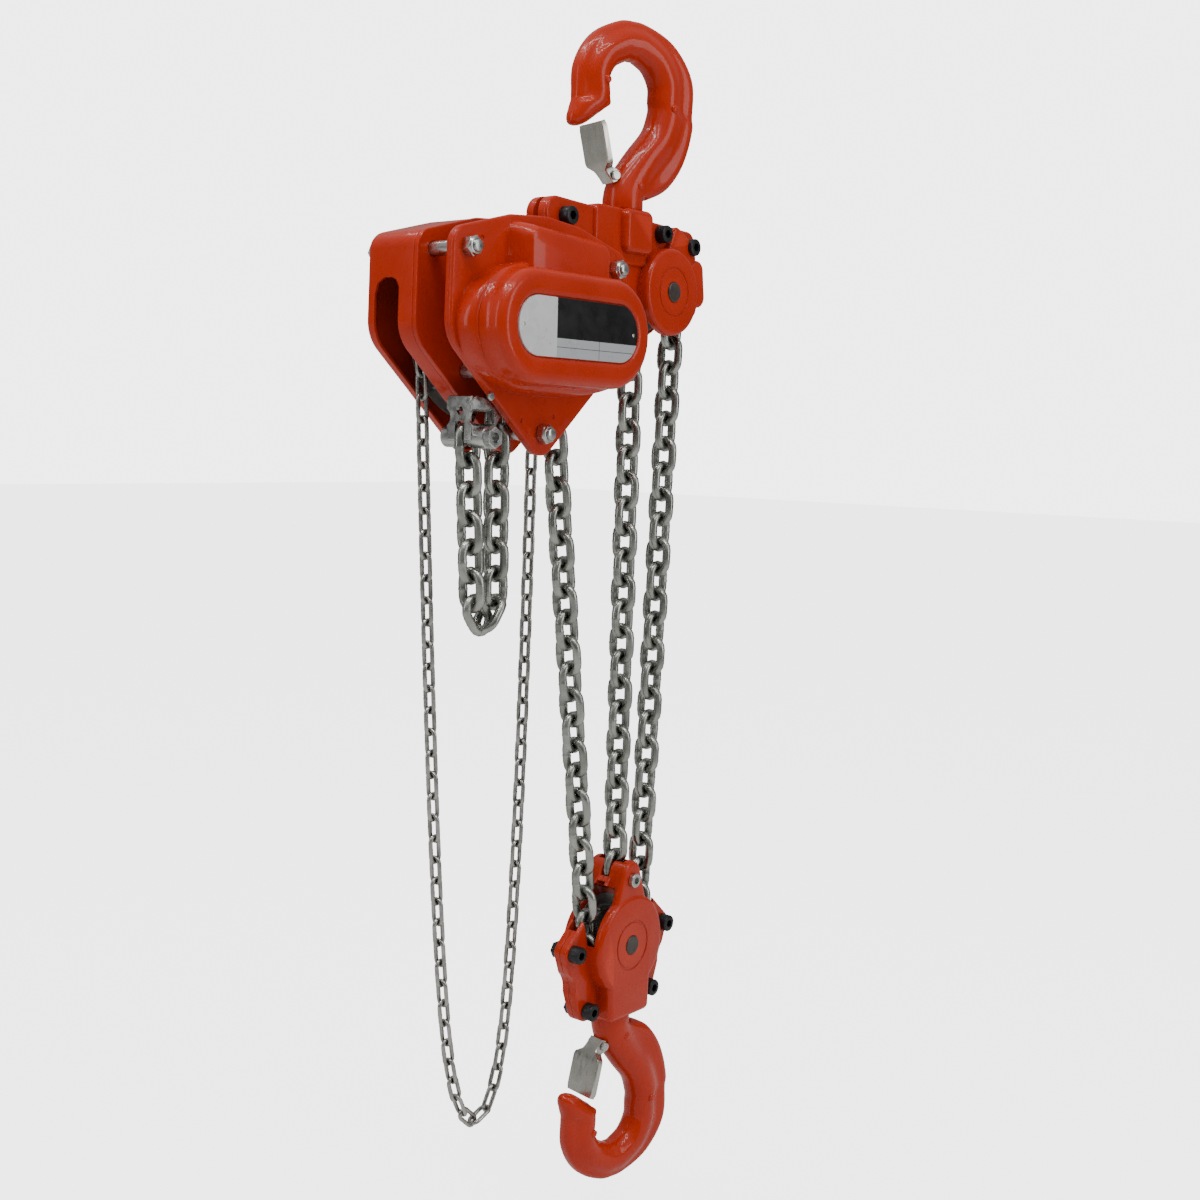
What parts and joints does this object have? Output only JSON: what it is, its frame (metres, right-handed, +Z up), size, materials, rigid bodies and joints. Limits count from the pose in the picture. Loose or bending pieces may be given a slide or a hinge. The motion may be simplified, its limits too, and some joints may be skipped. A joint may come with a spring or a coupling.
{
  "type": "manual chain hoist",
  "caption": "Hand-chain hoist with a geared red body, top yoke and swivel hook, reeved load chain and a lower block with its own swivel hook and latch.",
  "frame": {"origin": "saddle of the top hook, where the hoist hangs, on the hook's neck axis", "axes": "+Z up along the hook's neck, +X from the geared body towards the idler sheave, -Y on the gear side and +Y on the hand wheel side"},
  "size_m": [0.437, 0.1881, 1.3598],
  "materials": {
    "red_paint": "glossy orange-red enamel",
    "zinc": "zinc-plated steel",
    "steel": "machined steel",
    "black_oxide": "black oxide steel",
    "cast": "bare casting",
    "lining": "friction lining",
    "plate": "printed plate"
  },
  "bodies": {
    "frame": {"anchor_bracket": "steel", "anchor_pin": "steel", "chain_stripper": "steel", "data_plate": "plate", "gear_cover": "red_paint", "gear_side_plate": "red_paint", "hand_chain": "zinc", "idler_axle": "black_oxide", "idler_wrap_chain": "zinc", "left_fall_chain": "zinc", "middle_fall_chain": "zinc", "right_fall_chain": "zinc", "sheave_bearing_gear_side": "steel", "sheave_bearing_wheel_side": "steel", "slack_chain": "zinc", "stay_bolt_bottom": "zinc", "stay_bolt_left": "zinc", "stay_bolt_right": "zinc", "wheel_cover": "red_paint", "wheel_side_plate": "red_paint", "yoke_back_shell": "red_paint", "yoke_front_shell": "red_paint", "yoke_link_pin": "steel", "yoke_screw_1": "black_oxide", "yoke_screw_2": "black_oxide", "yoke_screw_3": "black_oxide"},
    "load_sheave_body": {"load_sheave": "cast", "load_gear": "steel"},
    "drive_shaft_body": {"drive_shaft": "steel", "brake_hub": "steel"},
    "disc_gear_left_body": {"disc_gear_left": "steel"},
    "disc_gear_right_body": {"disc_gear_right": "steel"},
    "hand_wheel_body": {"hand_wheel": "cast"},
    "ratchet_body": {"ratchet_disc": "steel", "friction_disc_inner": "lining", "friction_disc_outer": "lining"},
    "pawl_upper_body": {"pawl_upper": "steel"},
    "pawl_lower_body": {"pawl_lower": "steel"},
    "guide_roller_left_body": {"guide_roller_left": "steel"},
    "guide_roller_right_body": {"guide_roller_right": "steel"},
    "idler_sheave_body": {"idler_sheave": "cast"},
    "top_hook_body": {"top_hook": "red_paint", "top_hook_nut": "steel", "top_latch_pin": "steel"},
    "top_latch_body": {"top_latch": "zinc"},
    "block_body": {"block_front_shell": "red_paint", "block_back_shell": "red_paint", "block_axle": "black_oxide", "chain_anchor_screw": "zinc", "block_wrap_chain": "zinc", "block_screw_1": "black_oxide", "block_screw_2": "black_oxide", "block_screw_3": "black_oxide", "block_screw_4": "black_oxide"},
    "block_sheave_body": {"block_sheave": "cast"},
    "lower_hook_body": {"lower_hook": "red_paint", "lower_hook_nut": "steel", "lower_latch_pin": "steel"},
    "lower_latch_body": {"lower_latch": "zinc"}
  },
  "joints": [
    {"name": "hand_wheel_spin", "type": "hinge", "parent": "frame", "child": "hand_wheel_body", "pos_m": [-0.163, 0, -0.309], "axis": [0, -1, 0], "range_deg": [0, 15697]},
    {"name": "drive_shaft_spin", "type": "hinge", "parent": "frame", "child": "drive_shaft_body", "pos_m": [-0.163, 0, -0.309], "axis": [0, -1, 0], "range_deg": [-5, 15703]},
    {"name": "ratchet_spin", "type": "hinge", "parent": "frame", "child": "ratchet_body", "pos_m": [-0.163, 0, -0.309], "axis": [0, -1, 0], "range_deg": [-5, 15703]},
    {"name": "disc_gear_left_spin", "type": "hinge", "parent": "frame", "child": "disc_gear_left_body", "pos_m": [-0.2202, 0, -0.309], "axis": [0, -1, 0], "range_deg": [-2860, 5]},
    {"name": "disc_gear_right_spin", "type": "hinge", "parent": "frame", "child": "disc_gear_right_body", "pos_m": [-0.1058, 0, -0.309], "axis": [0, -1, 0], "range_deg": [-2860, 5]},
    {"name": "load_sheave_spin", "type": "hinge", "parent": "frame", "child": "load_sheave_body", "pos_m": [-0.163, 0, -0.309], "axis": [0, -1, 0], "range_deg": [-5, 545]},
    {"name": "pawl_upper_swing", "type": "hinge", "parent": "frame", "child": "pawl_upper_body", "pos_m": [-0.221, 0, -0.275], "axis": [0, 1, 0], "range_deg": [-12, 2]},
    {"name": "pawl_lower_swing", "type": "hinge", "parent": "frame", "child": "pawl_lower_body", "pos_m": [-0.105, 0, -0.343], "axis": [0, 1, 0], "range_deg": [-12, 2]},
    {"name": "guide_roller_left_spin", "type": "hinge", "parent": "frame", "child": "guide_roller_left_body", "pos_m": [-0.231, 0, -0.354], "axis": [0, 1, 0], "continuous": true},
    {"name": "guide_roller_right_spin", "type": "hinge", "parent": "frame", "child": "guide_roller_right_body", "pos_m": [-0.087, 0, -0.354], "axis": [0, 1, 0], "continuous": true},
    {"name": "top_hook_swivel", "type": "hinge", "parent": "frame", "child": "top_hook_body", "pos_m": [0, 0, -0.163], "axis": [0, 0, 1], "continuous": true},
    {"name": "top_latch_hinge", "type": "hinge", "parent": "top_hook_body", "child": "top_latch_body", "pos_m": [-0.01826, 0.00524, -0.127], "axis": [0.2756, 0.9613, 0], "range_deg": [0, 35]},
    {"name": "block_lift", "type": "slide", "parent": "frame", "child": "block_body", "axis": [0, 0, 1], "range_m": [-0.001, 0.122], "deforming": ["left_fall_chain", "middle_fall_chain", "right_fall_chain"]},
    {"name": "idler_sheave_spin", "type": "hinge", "parent": "frame", "child": "idler_sheave_body", "pos_m": [0.0625, 0, -0.249], "axis": [0, -1, 0], "range_deg": [-185, 5]},
    {"name": "block_sheave_spin", "type": "hinge", "parent": "block_body", "child": "block_sheave_body", "pos_m": [0.021, 0, -1.017], "axis": [0, -1, 0], "range_deg": [-298, 5]},
    {"name": "lower_hook_swivel", "type": "hinge", "parent": "block_body", "child": "lower_hook_body", "pos_m": [0.021, 0, -1.106], "axis": [0, 0, 1], "continuous": true},
    {"name": "lower_latch_hinge", "type": "hinge", "parent": "lower_hook_body", "child": "lower_latch_body", "pos_m": [0.00223, 0.00297, -1.142], "axis": [-0.1564, -0.9877, 0], "range_deg": [0, 35]}
  ],
  "couplings": [
    {"joint": "drive_shaft_spin", "follows": "hand_wheel_spin", "ratio": 1},
    {"joint": "ratchet_spin", "follows": "hand_wheel_spin", "ratio": 1},
    {"joint": "disc_gear_left_spin", "follows": "hand_wheel_spin", "ratio": -0.18182},
    {"joint": "disc_gear_right_spin", "follows": "hand_wheel_spin", "ratio": -0.18182},
    {"joint": "load_sheave_spin", "follows": "hand_wheel_spin", "ratio": 0.034398},
    {"joint": "idler_sheave_spin", "follows": "hand_wheel_spin", "ratio": -0.011466},
    {"joint": "block_sheave_spin", "follows": "hand_wheel_spin", "ratio": -0.018638},
    {"joint": "block_lift", "follows": "hand_wheel_spin", "m_per_rad": 0.000438}
  ]
}
